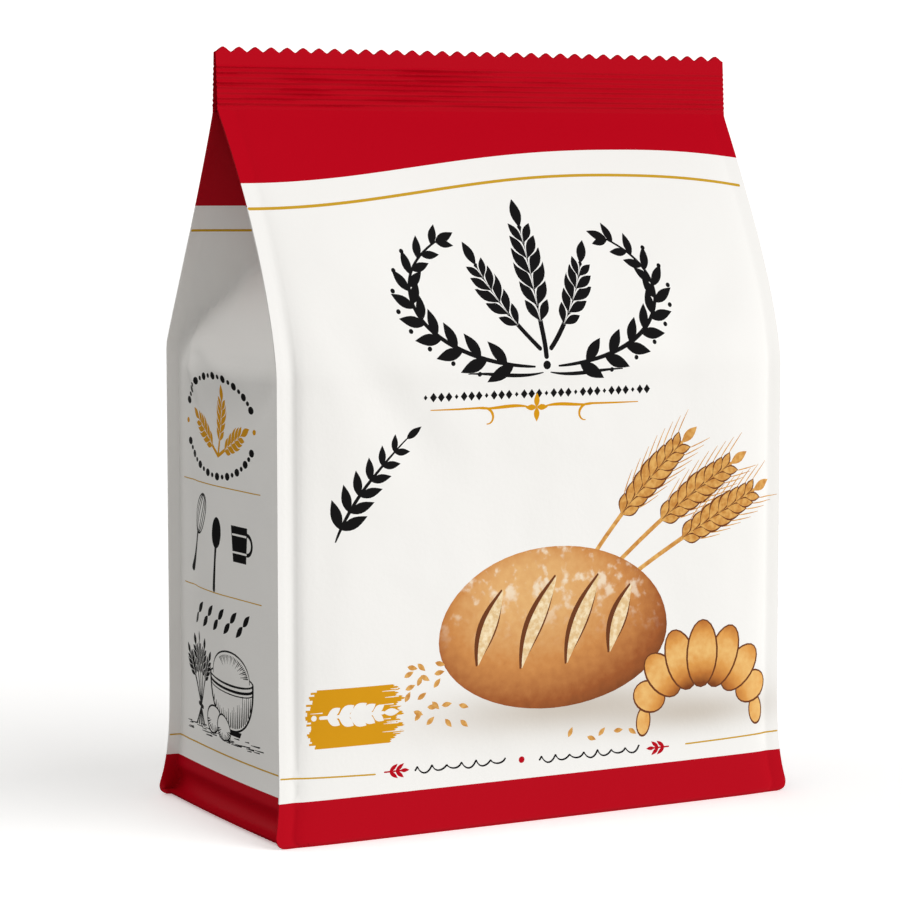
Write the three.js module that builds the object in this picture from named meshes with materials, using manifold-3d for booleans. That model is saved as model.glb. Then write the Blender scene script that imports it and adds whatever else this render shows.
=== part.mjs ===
// A shut one-kilogram bag of flour: a box-bottomed film bag with four sealed corner strips,
// side panels that tuck in as gussets above the shoulder, and a crimped, zigzag-cut top seal.
// Millimetres, +Z up. The origin lies on the base, below the middle of the bag's bounding box,
// and the front panel faces -Y.
import * as THREE from "three";
import { mergeVertices } from "three/addons/utils/BufferGeometryUtils.js";
import Module from "manifold-3d";

const wasm = await Module();
wasm.setup();

// Whole bag
const BAG_WIDTH = 144; // over the corner strips, half way up
const BAG_DEPTH = 67.2; // over the front and back corner strips, half way up
const BAG_HEIGHT = 192.4; // to the tips of the teeth

// Corner strips: the front and back panels are welded to the side panels along them
const STRIP_WIDTH = 3.3;
const STRIP_THICKNESS = 0.9;

// Foot: the filled base spreads, and its edges are rounded
const FOOT_HEIGHT = 30;
const FOOT_SPREAD_SIDES = 2.6;
const FOOT_SPREAD_FRONT = 2.4;
const FOOT_SPREAD_BACK = 4;
const BASE_ROUNDING = 1.2; // along the front and back edges
const BASE_CORNER_RADIUS = 3.6; // at both ends of the base
const BASE_LIP_HEIGHT = 1.5; // welded lip along the bottom of each side panel
const BASE_LIP_INSET = 1.4; // from the strips' edge to the lip
const BASE_GROOVE_TOP = 8; // above the lip the side panel is creased inwards
const BASE_GROOVE_DEPTH = 2.3;
const BASE_GROOVE_SKEW = 0.6; // below 1 the crease is deepest near the lip

// Shoulder: from here the front and back lean together up to the top seal
const FRONT_BEND_START = 113;
const BACK_BEND_START = 118;
const FRONT_LEAN_POWER = 1.45; // above 1 a panel curves over gently before it straightens
const BACK_LEAN_POWER = 1.05;

// Tuck: two creases run up each side panel from the shoulder and meet in its middle
const TUCK_START = 122; // height where they leave the strips
const TUCK_APEX = 174; // height where they would meet
const CREASE_NEAREST_MIDDLE = 0.15; // shares of the half gap that the creases keep within
const CREASE_NEAREST_STRIP = 0.92;

// How far the filling pushes the panels out
const FRONT_BULGE = 3.4;
const BULGE_SOFT_POWER = 2.4; // above 2 the panel is flatter in the middle
const BULGE_FULL_POWER = 9; // rises close beside the strips
const BULGE_SOFT_SHARE = 0.45;
const SIDE_BULGE = 2.2;
const BULGE_AT_BASE = 0.3; // share of the bulge that is left at the base
const BULGE_FULL_AT = 45; // height where the bulge is whole

// Top seal
const SEAL_BASE = 177; // height where the two panels meet
const SEAL_WIDTH = 147.2;
const SEAL_BASE_THICKNESS = 3;
const SEAL_TIP_THICKNESS = 1.1;
const SEAL_FORWARD = 2.2; // the seal stands this far in front of the middle
const SEAL_OVERLAP = 0.5; // how far the seal reaches down into the bag
const SEAL_MARGIN = 0.1; // how far the seal stands proud of the bag's top rim
const CRIMP_LOW = 177.8;
const CRIMP_HIGH = 187.9;
const CRIMP_RIBS = 8;
const CRIMP_RELIEF = 0.35;
const CRIMP_STEPS = 4; // facets for each rib
const TOOTH_COUNT = 34;
const TOOTH_DEPTH = 1.4;
const CUTTER_MARGIN = 1; // what the tooth cutter and the uncut seal have to spare

// Facets
const FRONT_COLUMNS = 16;
const PANEL_COLUMNS = 4; // from the middle of a side panel to a crease
const FLAP_COLUMNS = 2; // from a crease to the strip
const ROW_STRETCHES = [
  // from, to, number of rows
  [0, BASE_LIP_HEIGHT, 3],
  [BASE_LIP_HEIGHT, BASE_GROOVE_TOP, 6],
  [BASE_GROOVE_TOP, FOOT_HEIGHT, 3],
  [FOOT_HEIGHT, FRONT_BEND_START, 7],
  [FRONT_BEND_START, SEAL_BASE, 14],
];

const { clamp, lerp, smoothstep } = THREE.MathUtils;

// 0 up to the shoulder, 1 where the panels meet.
function leanAt(z, power, start = FRONT_BEND_START) {
  return clamp((z - start) / (SEAL_BASE - start), 0, 1) ** power;
}

// 1 at the base, 0 at the top of the foot.
function footAt(z, power) {
  return clamp(1 - z / FOOT_HEIGHT, 0, 1) ** power;
}

// Share of the bulge at a height: little at the stiff base, none at the seal.
function fillAt(z) {
  const above = smoothstep(z, 0, BULGE_FULL_AT);
  return lerp(BULGE_AT_BASE, 1, above) * (1 - leanAt(z, FRONT_LEAN_POWER));
}

// How far an edge of this radius, rounded at the base, has drawn back at a height.
function roundedBack(z, radius) {
  const low = clamp(radius - z, 0, radius);
  return radius - Math.sqrt(radius ** 2 - low ** 2);
}

function halfWidthAt(z) {
  const top = SEAL_WIDTH / 2 - SEAL_MARGIN;
  const upright = lerp(BAG_WIDTH / 2, top, leanAt(z, 3));
  return upright + FOOT_SPREAD_SIDES * footAt(z, 4) - roundedBack(z, BASE_CORNER_RADIUS);
}

// Where the outer face of the front (-1) or back (1) strips lies at a height.
function stripFaceAt(z, side) {
  const backLean = leanAt(z, BACK_LEAN_POWER, BACK_BEND_START);
  const lean = side < 0 ? leanAt(z, FRONT_LEAN_POWER) : backLean;
  const spread = side < 0 ? FOOT_SPREAD_FRONT : FOOT_SPREAD_BACK;
  const seal = side * (SEAL_BASE_THICKNESS / 2 - SEAL_MARGIN) - SEAL_FORWARD;
  const leaning = lerp((side * BAG_DEPTH) / 2, seal, lean);
  return leaning + side * (spread * footAt(z, 2) - roundedBack(z, BASE_ROUNDING));
}

function halfDepthAt(z) {
  return (stripFaceAt(z, 1) - stripFaceAt(z, -1)) / 2;
}

// How far the side panel's edge lies inside the strips' edge.
function insetAt(z) {
  if (z <= BASE_LIP_HEIGHT) return BASE_LIP_INSET;
  const up = clamp((z - BASE_LIP_HEIGHT) / (BASE_GROOVE_TOP - BASE_LIP_HEIGHT), 0, 1);
  return STRIP_WIDTH + BASE_GROOVE_DEPTH * Math.sin(Math.PI * up ** BASE_GROOVE_SKEW);
}

// A side panel keeps its width, so where the front and back close, it goes in. Between its two
// creases it slopes in flat, and beside them it folds into flaps that reach out to the strips.
function tuckAt(z) {
  const panelHalf = BAG_DEPTH / 2 - STRIP_THICKNESS;
  const gapHalf = halfDepthAt(z) - STRIP_THICKNESS;
  const up = clamp((z - TUCK_START) / (TUCK_APEX - TUCK_START), 0, 1);
  const crease = gapHalf * clamp(1 - up, CREASE_NEAREST_MIDDLE, CREASE_NEAREST_STRIP);
  const flap = Math.max(panelHalf, gapHalf) - crease;
  const depth = Math.sqrt(Math.max(flap ** 2 - (gapHalf - crease) ** 2, 0));
  return { crease, depth };
}

// The outline at one height, anticlockwise from above, always with the same number of points.
function outlineAt(z) {
  const halfWidth = halfWidthAt(z);
  const halfDepth = halfDepthAt(z);
  const inset = insetAt(z);
  const fill = fillAt(z);
  const panelHalf = halfWidth - STRIP_WIDTH; // front panel between its strips
  const sideHalf = halfDepth - STRIP_THICKNESS; // side panel between the strips
  const narrowing = halfDepth / (BAG_DEPTH / 2);
  const front = [];
  for (let i = 0; i <= FRONT_COLUMNS; i++) {
    const across = -Math.cos((Math.PI * i) / FRONT_COLUMNS); // columns close up at the strips
    const soft = 1 - Math.abs(across) ** BULGE_SOFT_POWER;
    const full = 1 - Math.abs(across) ** BULGE_FULL_POWER;
    const bulge = FRONT_BULGE * fill * lerp(full, soft, BULGE_SOFT_SHARE);
    front.push([across * panelHalf, -halfDepth - bulge]);
  }
  const { crease, depth } = tuckAt(z);
  const rightSide = [];
  const columns = PANEL_COLUMNS + FLAP_COLUMNS;
  for (let i = -columns; i <= columns; i++) {
    const onPanel = Math.min(Math.abs(i) / PANEL_COLUMNS, 1);
    const onFlap = Math.max(Math.abs(i) - PANEL_COLUMNS, 0) / FLAP_COLUMNS;
    const y = lerp(crease * onPanel, sideHalf, onFlap);
    const bulge = SIDE_BULGE * fill * narrowing * (1 - (y / sideHalf) ** 2);
    rightSide.push([halfWidth - inset - depth * (1 - onFlap) + bulge, Math.sign(i) * y]);
  }
  const frontAndRight = [
    ...front,
    [halfWidth, -halfDepth],
    [halfWidth, -sideHalf],
    ...rightSide,
    [halfWidth, sideHalf],
    [halfWidth, halfDepth],
  ];
  const middle = (stripFaceAt(z, -1) + stripFaceAt(z, 1)) / 2;
  const backAndLeft = frontAndRight.map(([x, y]) => [-x, -y]);
  const whole = [...frontAndRight, ...backAndLeft];
  return whole.map(([x, y]) => new THREE.Vector3(x, middle + y, z));
}

// The heights of all rows, closer together where the form turns.
function rowHeights() {
  const heights = [ROW_STRETCHES[0][0]];
  for (const [from, to, count] of ROW_STRETCHES)
    for (let i = 1; i <= count; i++) heights.push(lerp(from, to, i / count));
  return heights;
}

// A closed mesh through outlines of equal length, capped flat at both ends.
function loft(outlines) {
  const count = outlines[0].length;
  const positions = outlines.flat().flatMap((p) => [p.x, p.y, p.z]);
  const indices = [];
  for (let row = 0; row + 1 < outlines.length; row++)
    for (let i = 0; i < count; i++) {
      const next = (i + 1) % count;
      const [a, b] = [row * count + i, row * count + next];
      const [c, d] = [a + count, b + count];
      indices.push(a, b, d, a, d, c);
    }
  const flat = (outline) => outline.map((p) => new THREE.Vector2(p.x, p.y));
  for (const [a, b, c] of THREE.ShapeUtils.triangulateShape(flat(outlines[0]), []))
    indices.push(a, c, b);
  const top = count * (outlines.length - 1);
  for (const [a, b, c] of THREE.ShapeUtils.triangulateShape(flat(outlines.at(-1)), []))
    indices.push(top + a, top + b, top + c);
  const geometry = new THREE.BufferGeometry();
  geometry.setAttribute("position", new THREE.Float32BufferAttribute(positions, 3));
  geometry.setIndex(indices);
  return geometry;
}

// The seal's section in the YZ plane, ribbed by the crimping jaws, drawn along X.
function sealBar() {
  const low = SEAL_BASE - SEAL_OVERLAP;
  const ribPitch = (CRIMP_HIGH - CRIMP_LOW) / CRIMP_RIBS;
  const heights = [low, SEAL_BASE, CRIMP_LOW];
  for (let i = 1; i <= CRIMP_RIBS * CRIMP_STEPS; i++)
    heights.push(CRIMP_LOW + (i * ribPitch) / CRIMP_STEPS);
  heights.push(BAG_HEIGHT + CUTTER_MARGIN); // cut off by the teeth
  const face = (z, side) => {
    const up = clamp((z - SEAL_BASE) / (BAG_HEIGHT - SEAL_BASE), 0, 1);
    const half = lerp(SEAL_BASE_THICKNESS, SEAL_TIP_THICKNESS, up) / 2;
    const turns = clamp((z - CRIMP_LOW) / ribPitch, 0, CRIMP_RIBS);
    const rib = CRIMP_RELIEF * Math.sin(2 * Math.PI * turns);
    const tucked = z < SEAL_BASE ? SEAL_OVERLAP / 2 : 0; // its lowest edge stays inside the bag
    return new THREE.Vector2(-SEAL_FORWARD + side * (half - tucked) + rib, z);
  };
  const shape = new THREE.Shape([
    ...heights.map((z) => face(z, -1)),
    ...heights.toReversed().map((z) => face(z, 1)),
  ]);
  const bar = new THREE.ExtrudeGeometry(shape, { depth: SEAL_WIDTH, bevelEnabled: false });
  const yz = new THREE.Matrix4().makeBasis(
    new THREE.Vector3(0, 1, 0),
    new THREE.Vector3(0, 0, 1),
    new THREE.Vector3(1, 0, 0),
  );
  return bar.applyMatrix4(yz).translate(-SEAL_WIDTH / 2, 0, 0);
}

// A plate in the XZ plane whose top edge is cut in teeth.
function toothedPlate() {
  const half = SEAL_WIDTH / 2 + CUTTER_MARGIN;
  const low = SEAL_BASE - SEAL_OVERLAP - CUTTER_MARGIN;
  const valley = BAG_HEIGHT - TOOTH_DEPTH;
  const pitch = SEAL_WIDTH / TOOTH_COUNT;
  const outline = [new THREE.Vector2(-half, low), new THREE.Vector2(half, low)];
  outline.push(new THREE.Vector2(half, valley));
  for (let i = TOOTH_COUNT - 1; i >= 0; i--) {
    const x = (i - TOOTH_COUNT / 2) * pitch;
    outline.push(new THREE.Vector2(x + pitch / 2, BAG_HEIGHT));
    if (i > 0) outline.push(new THREE.Vector2(x, valley));
  }
  outline.push(new THREE.Vector2(-half, valley));
  const depth = BAG_DEPTH;
  const plate = new THREE.ExtrudeGeometry(new THREE.Shape(outline), { depth, bevelEnabled: false });
  return plate.rotateX(Math.PI / 2).translate(0, depth / 2, 0);
}

// A geometry as a solid that can be joined and cut.
function solidOf(geometry) {
  const bare = geometry.clone();
  bare.deleteAttribute("normal");
  bare.deleteAttribute("uv");
  const merged = mergeVertices(bare, 1e-4);
  return new wasm.Manifold(
    new wasm.Mesh({
      numProp: 3,
      vertProperties: merged.attributes.position.array,
      triVerts: new Uint32Array(merged.index.array),
    }),
  );
}

function geometryOf(solid) {
  const { vertProperties, triVerts } = solid.getMesh();
  const geometry = new THREE.BufferGeometry();
  geometry.setAttribute("position", new THREE.BufferAttribute(vertProperties, 3));
  geometry.setIndex(new THREE.BufferAttribute(triVerts, 1));
  geometry.computeVertexNormals();
  return geometry;
}

const film = new THREE.MeshStandardMaterial({ color: 0xf3f2ef, roughness: 0.42, metalness: 0 });

const body = solidOf(loft(rowHeights().map(outlineAt)));
const seal = solidOf(sealBar()).intersect(solidOf(toothedPlate()));
const skin = geometryOf(body.add(seal));
skin.computeBoundingBox();
const middle = skin.boundingBox.getCenter(new THREE.Vector3());
skin.translate(-middle.x, -middle.y, 0);
const flourBag = new THREE.Mesh(skin, film);
flourBag.name = "flour_bag";

const part = new THREE.Group();
part.add(flourBag);

export default part;
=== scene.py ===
# %% [markdown]
# # A shut bag of flour
# The bag is one printed plastic film: four panels welded together at four corner strips, filled,
# stood on a flat base and closed by a crimped seal with a zigzag cut. Nothing on it moves.
# The lesson makes the film the way a bag maker does. The print is laid out on a flat net, the net
# is cut into small triangles along every printed edge, and Geometry Nodes fold it into the bag.
# The imported CAD part gives the frame, and the size of the result is printed at the end.

import bmesh
import bpy
import math
import random
import numpy as np
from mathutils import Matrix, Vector
from mathutils.geometry import delaunay_2d_cdt


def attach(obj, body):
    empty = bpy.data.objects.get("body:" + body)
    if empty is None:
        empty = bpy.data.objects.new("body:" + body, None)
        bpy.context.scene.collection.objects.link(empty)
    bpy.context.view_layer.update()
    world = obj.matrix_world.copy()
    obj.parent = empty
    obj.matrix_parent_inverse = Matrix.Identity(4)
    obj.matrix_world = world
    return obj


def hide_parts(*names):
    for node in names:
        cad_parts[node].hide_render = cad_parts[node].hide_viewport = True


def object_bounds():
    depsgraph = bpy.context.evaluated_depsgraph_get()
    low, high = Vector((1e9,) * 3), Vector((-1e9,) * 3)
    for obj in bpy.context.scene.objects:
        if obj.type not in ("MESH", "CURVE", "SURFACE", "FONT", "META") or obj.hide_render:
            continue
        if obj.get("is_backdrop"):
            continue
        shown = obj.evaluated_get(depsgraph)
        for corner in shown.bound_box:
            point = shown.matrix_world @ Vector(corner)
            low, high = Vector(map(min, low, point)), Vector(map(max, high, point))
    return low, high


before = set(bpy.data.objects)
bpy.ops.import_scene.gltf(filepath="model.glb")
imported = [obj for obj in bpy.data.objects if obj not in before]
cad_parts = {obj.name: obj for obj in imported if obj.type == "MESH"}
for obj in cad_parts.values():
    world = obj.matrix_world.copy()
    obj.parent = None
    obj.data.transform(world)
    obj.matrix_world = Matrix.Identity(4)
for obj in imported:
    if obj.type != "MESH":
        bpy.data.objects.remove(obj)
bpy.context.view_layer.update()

# %% [markdown]
# ## The sizes of the film
# Everything up to the folding is in millimetres, because a print is measured that way. The net
# has one coordinate along the film, `n`, which is 0 in the middle of the front and grows to the
# right, and one upwards, `z`. The front reaches from -72 to 72. Then come the cut edge of a
# corner strip, the side panel with a strip at each end, one more edge and half of the back.
# `MIDDLE_SHIFT` moves the whole bag a little forwards, to where the frame has it.

# %% Sizes in millimetres
HALF_WIDTH = 72.0
HALF_DEPTH = 33.6
STRIP = 3.3
EDGE = 0.5
FILM_TOP = 177.3
HALF_SIDE_FILM = HALF_DEPTH - EDGE + STRIP
SIDE_START = HALF_WIDTH + EDGE
SIDE_MIDDLE = SIDE_START + HALF_SIDE_FILM
SIDE_END = SIDE_MIDDLE + HALF_SIDE_FILM
BACK_START = SIDE_END + EDGE
HALF_NET = BACK_START + HALF_WIDTH
MIDDLE_SHIFT = -0.672
MM = 0.001
print("The net is", round(2 * HALF_NET, 1), "mm round and", FILM_TOP, "mm high")

# %% [markdown]
# ## Node maths that reads like arithmetic
# Both Geometry Nodes and materials are networks of small nodes. Wiring them by hand hides the
# formula, so one small class wraps a socket and overloads the operators: `1 - mask` then adds
# a Math node. The other class adds any node from its type, its settings and its sockets.

# %% The wire and node helpers
def both_ways(operation):
    """Two methods that add a Math node: for a wire on the left of the sign, and on its right."""
    return (lambda a, b: a.nodes.math(operation, a, b)), (lambda a, b: a.nodes.math(operation, b, a))


class Wire:
    """An output socket that can be used in a formula."""

    __add__, __radd__ = both_ways("ADD")
    __sub__, __rsub__ = both_ways("SUBTRACT")
    __mul__, __rmul__ = both_ways("MULTIPLY")
    __truediv__, __rtruediv__ = both_ways("DIVIDE")
    __pow__, __rpow__ = both_ways("POWER")
    at_least = both_ways("MAXIMUM")[0]
    at_most = both_ways("MINIMUM")[0]
    above = both_ways("GREATER_THAN")[0]

    def __init__(self, nodes, socket):
        self.nodes = nodes
        self.socket = socket

    def __neg__(self):
        return self * -1.0

    def __abs__(self):
        return self.nodes.math("ABSOLUTE", self)

    def sign(self):
        return self.nodes.math("SIGN", self)

    def limited(self):
        return self.at_least(0.0).at_most(1.0)

    def root(self):
        return self.nodes.math("SQRT", self)

    def sine(self):
        return self.nodes.math("SINE", self)

    def hill(self):
        """1 where the value is 0, falling to 0 on both sides."""
        return self.nodes.math("EXPONENT", -(self * self))

    def climb(self, start, reach):
        """0 up to the start, then growing evenly to 1 within the reach."""
        return ((self - start) / reach).limited()

    def blend(self, first, second):
        """The first value where this is 0, and the second where it is 1."""
        return first * (1.0 - self) + second * self

    def ramp(self, low, high):
        """0 below low, 1 above high, with a soft start and end."""
        settings = {"interpolation_type": "SMOOTHSTEP"}
        sockets = {"Value": self, "From Min": low, "From Max": high}
        return self.nodes.add("ShaderNodeMapRange", settings, sockets)

    def also(self, name):
        """Another output of the same node."""
        return Wire(self.nodes, self.socket.node.outputs[name])


def set_stops(ramp, stops):
    """Gives a colour ramp these pairs of a place and a colour."""
    while len(ramp.elements) < len(stops):
        ramp.elements.new(0.5)
    for element, (place, colour) in zip(ramp.elements, stops):
        element.position = place
        element.color = colour


class Nodes:
    """Adds nodes to one tree and links them."""

    def __init__(self, tree):
        self.tree = tree
        self.count = 0

    def add(self, kind, settings=None, sockets=None, output=0):
        """Adds a node with its settings, and with a wire or a value for each of these sockets."""
        node = self.tree.nodes.new(kind)
        node.location = (190 * (self.count % 14), -230 * (self.count // 14))
        self.count += 1
        for name, value in (settings or {}).items():
            if name == "stops":
                set_stops(node.color_ramp, value)
            else:
                setattr(node, name, value)
        for key, value in (sockets or {}).items():
            if isinstance(value, Wire):
                self.tree.links.new(value.socket, node.inputs[key])
            else:
                node.inputs[key].default_value = value
        return Wire(self, node.outputs[output]) if len(node.outputs) else node

    def math(self, operation, *values):
        return self.add("ShaderNodeMath", {"operation": operation}, dict(enumerate(values)))

    def tint(self, share, first, second):
        """The colour first where share is 0, and second where it is 1."""
        colours = {0: share, 6: first, 7: second}
        return self.add("ShaderNodeMix", {"data_type": "RGBA"}, colours, output=2)

    def split(self, vector):
        x = self.add("ShaderNodeSeparateXYZ", None, {0: vector})
        return x, x.also("Y"), x.also("Z")

    def point(self, x, y, z=0.0):
        return self.add("ShaderNodeCombineXYZ", None, {0: x, 1: y, 2: z})

    def moved(self, mesh, x, y, z):
        """A mesh with its points moved to x, y, z in millimetres, as plain geometry."""
        place = self.point(x * MM, y * MM, z * MM)
        mesh = self.add("GeometryNodeSetPosition", None, {"Geometry": mesh, "Position": place})
        return self.add("GeometryNodeRealizeInstances", None, {0: mesh})


# %% [markdown]
# ## The finishes
# The real film is a satin polyethylene, printed on its outside: bright white, deep red, gold and
# black. Flat inks could be plain colours, but film is never quite even, so every finish gets
# a faint cloudiness in its gloss and a fine ripple. The ripple is a Bump node on Object
# coordinates, because it costs no geometry.

# %% The film finish
def colour(red, green, blue):
    """A colour given as on a screen, 0 to 255, turned into the linear values nodes use."""
    return tuple(((c / 255 + 0.055) / 1.055) ** 2.4 for c in (red, green, blue)) + (1.0,)


def cloud(nodes, place, size, detail=2.0, seed=0.0):
    """Soft noise from 0 to 1 with patches of about this size in millimetres."""
    sockets = {"Vector": place, "Scale": 1.0 / size, "Detail": detail, "W": seed}
    return nodes.add("ShaderNodeTexNoise", {"noise_dimensions": "4D"}, sockets)


def film_finish(name, base, gloss=0.42, ripple=0.12, shade=None, shine=0.25):
    """A printed film of one colour, or of one that the function shade makes from nodes."""
    material = bpy.data.materials.new(name)
    material.use_nodes = True
    material.node_tree.nodes.clear()
    nodes = Nodes(material.node_tree)
    metres = nodes.add("ShaderNodeTexCoord", output="Object")
    place = nodes.add("ShaderNodeVectorMath", {"operation": "SCALE"}, {0: metres, "Scale": 1.0 / MM})
    roughness = gloss + 0.10 * (cloud(nodes, place, size=26.0) - 0.5)
    ripples = cloud(nodes, place, size=7.0, detail=3.0)
    grain = cloud(nodes, place, size=1.1, seed=3.0)
    height = 0.7 * ripples + 0.3 * grain
    bump = nodes.add("ShaderNodeBump", None, {"Strength": ripple, "Distance": MM, "Height": height})
    sockets = {"Roughness": roughness, "Normal": bump, "IOR": 1.46, "Specular IOR Level": shine}
    sockets["Base Color"] = shade(nodes, place, *nodes.split(place)) if shade else base
    surface = nodes.add("ShaderNodeBsdfPrincipled", None, sockets)
    nodes.add("ShaderNodeOutputMaterial", None, {"Surface": surface})
    material.diffuse_color = base
    return material


# %% [markdown]
# ## The white film and the printed colours
# White needs the most care, because a camera shows every step in it. It is kept nearly plain, with
# a very faint cloud and soft shadows that are part of the print, under the baked goods. Red, gold
# and black are single inks. The baked goods are printed pictures, so their inks follow formulas:
# a dome of light, a noise for crust or flour, and a darker rim.
# The loaf is given by its middle and its two reaches, the croissant by its middle and its arc.

# %% The white film
LOAF = (3.0, 47.0, 33.0, 22.0)
CROISSANT = (47.0, 21.0, 17.5)
WHITE = colour(243, 242, 240)
FRONT_FROM = 20.0


def soft_spot(x, z, centre_x, centre_z, reach_x, reach_z):
    """A soft oval spot that fades outwards."""
    return ((x - centre_x) / reach_x).hill() * ((z - centre_z) / reach_z).hill()


def white_shade(nodes, place, x, y, z):
    on_front = (-y).above(FRONT_FROM)
    under_loaf = soft_spot(x, z, LOAF[0] + 4.0, LOAF[1] - 19.0, 36.0, 6.0)
    under_croissant = soft_spot(x, z, CROISSANT[0], CROISSANT[1] + 2.0, 24.0, 4.5)
    shadow = (0.62 * under_loaf + 0.5 * under_croissant).limited() * on_front
    clean = nodes.tint(cloud(nodes, place, 40.0), WHITE, colour(240, 239, 236))
    return nodes.tint(shadow, clean, colour(176, 160, 140))


white_film = film_finish("white_film", WHITE, shade=white_shade)

# %% The flat inks
red_film = film_finish("red_film", colour(181, 5, 26), gloss=0.40, shine=0.06)
gold_ink = film_finish("gold_ink", colour(212, 150, 20), gloss=0.36, shine=0.08)
black_ink = film_finish("black_ink", colour(24, 23, 24), gloss=0.42, shine=0.08)


# %% The inks of the baked goods
def crust_shade(nodes, place, x, y, z):
    across = (x - LOAF[0]) / LOAF[2]
    upwards = (z - LOAF[1]) / LOAF[3]
    dome = (1.0 - (across * across + upwards * upwards)).at_least(0.0).root()
    light = 0.45 * dome + 0.30 * upwards - 0.12 * across + 0.32
    light = light + 0.22 * (cloud(nodes, place, 2.2, 4.0) - 0.5)
    stops = [(0.08, colour(96, 48, 22)), (0.38, colour(160, 88, 40))]
    stops += [(0.66, colour(205, 138, 74)), (0.95, colour(233, 187, 124))]
    crust = nodes.add("ShaderNodeValToRGB", {"stops": stops}, {0: light})
    dust = cloud(nodes, place, 3.2, 6.0, 5.0).ramp(0.50, 0.66) * upwards.ramp(-0.2, 0.75)
    return nodes.tint(0.8 * dust, crust, colour(245, 234, 212))


def croissant_shade(nodes, place, x, y, z):
    across = x - CROISSANT[0]
    upwards = z - CROISSANT[1]
    reach = (across * across + upwards * upwards).root()
    off_middle = (reach - CROISSANT[2]) / 8.0
    light = 0.85 - 0.55 * off_middle * off_middle + 0.20 * off_middle
    light = light + 0.25 * (cloud(nodes, place, 1.6, 4.0, 2.0) - 0.5)
    stops = [(0.15, colour(128, 66, 24)), (0.50, colour(192, 118, 48))]
    stops += [(0.75, colour(222, 156, 76)), (0.98, colour(244, 204, 130))]
    return nodes.add("ShaderNodeValToRGB", {"stops": stops}, {0: light})


def straw_shade(nodes, place, x, y, z):
    grain = cloud(nodes, place, 1.4, 3.0, 7.0)
    return nodes.tint(grain.ramp(0.3, 0.7), colour(196, 132, 58), colour(226, 174, 96))


def crumb_shade(nodes, place, x, y, z):
    grain = cloud(nodes, place, 1.2, 4.0, 9.0)
    return nodes.tint(grain.ramp(0.35, 0.7), colour(224, 190, 138), colour(247, 229, 192))


crust_ink = film_finish("crust_ink", colour(184, 112, 60), shade=crust_shade)
crumb_ink = film_finish("crumb_ink", colour(238, 216, 176), shade=crumb_shade)
croissant_ink = film_finish("croissant_ink", colour(214, 148, 72), shade=croissant_shade)
straw_ink = film_finish("straw_ink", colour(212, 154, 78), shade=straw_shade)
brown_ink = film_finish("brown_ink", colour(112, 60, 28))
line_gold = film_finish("line_gold", colour(200, 156, 44), gloss=0.36, shine=0.08)

INKS = [white_film, red_film, gold_ink, black_ink, crust_ink, crumb_ink, croissant_ink, straw_ink]
INKS += [brown_ink, line_gold]
WHITE_FILM, RED, GOLD, BLACK, CRUST, CRUMB, CROISSANT_INK, STRAW, BROWN, LINE_GOLD = range(len(INKS))
print("Finishes:", [ink.name for ink in INKS])

# %% [markdown]
# ## Drawing on the flat net
# Every printed shape is a small closed outline in `n` and `z`, with the number of its ink. Shapes
# that are painted later lie on top, as on a printing press. A few helpers draw all of it: ovals,
# pointed leaves, brush lines whose width swells, and swirls, which are lines whose bend grows
# steadily, as in a pen flourish. A net could be painted with a picture instead, but outlines stay
# sharp however close the camera comes.

# %% Shapes and brush lines
shapes = []


def edges_of(outline):
    """The pairs of neighbouring points of a closed outline."""
    return zip(outline, outline[1:] + outline[:1])


def paint(ink, outline):
    """Adds one closed outline, kept on the net and turned anticlockwise."""
    outline = [(min(max(x, -HALF_NET), HALF_NET), z) for x, z in outline]
    area = sum(a[0] * b[1] - b[0] * a[1] for a, b in edges_of(outline))
    if abs(area) > 1e-4:
        shapes.append((ink, outline if area > 0 else outline[::-1]))


def between(a, b, part, whole=1):
    """The point that lies part / whole of the way from point a to point b."""
    return tuple(p + (q - p) * part / whole for p, q in zip(a, b))


def polar(reach, angle):
    """The point at this reach from 0, 0, in the direction of an angle in degrees."""
    return reach * math.cos(math.radians(angle)), reach * math.sin(math.radians(angle))


def full_turn(count):
    """Even steps once round, in radians."""
    return [2 * math.pi * k / count for k in range(count)]


def turned(points, x, z, angle):
    """The points turned by an angle in degrees and moved to x, z."""
    c, s = math.cos(math.radians(angle)), math.sin(math.radians(angle))
    return [(x + px * c - pz * s, z + px * s + pz * c) for px, pz in points]


def oval(ink, x, z, reach_x, reach_z, angle=0.0, count=20):
    edge = [(reach_x * math.cos(a), reach_z * math.sin(a)) for a in full_turn(count)]
    paint(ink, turned(edge, x, z, angle))


def swell(share, fullest):
    """Grows from 0 to 1 and back while share goes from 0 to 1, and is 1 at the share fullest."""
    return math.sin(math.pi * share ** (math.log(0.5) / math.log(fullest)))


def leaf(ink, x, z, length, width, angle, fullest=0.45, count=7):
    """A pointed leaf that grows from x, z in a direction."""
    edge = [(length * k / count, width / 2 * swell(k / count, fullest)) for k in range(count + 1)]
    lower = [(px, -pz) for px, pz in reversed(edge[1:-1])]
    paint(ink, turned(edge + lower, x, z, angle))


def brush(ink, points, widths):
    """A line of short joined pieces, with one width or a list of them, rounded at both ends."""
    if not isinstance(widths, list):
        widths = [widths] * len(points)
    sides = []
    for k, (x, z) in enumerate(points):
        x0, z0 = points[max(k - 1, 0)]
        x1, z1 = points[min(k + 1, len(points) - 1)]
        long = math.hypot(x1 - x0, z1 - z0) or 1.0
        across = ((z0 - z1) / long * widths[k] / 2, (x1 - x0) / long * widths[k] / 2)
        sides.append(((x + across[0], z + across[1]), (x - across[0], z - across[1])))
    for (a, b), (c, d) in zip(sides, sides[1:]):
        paint(ink, [a, b, d, c])
    for (x, z), width in ((points[0], widths[0]), (points[-1], widths[-1])):
        if width > 0.25:
            oval(ink, x, z, width / 2, width / 2, count=10)


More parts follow.
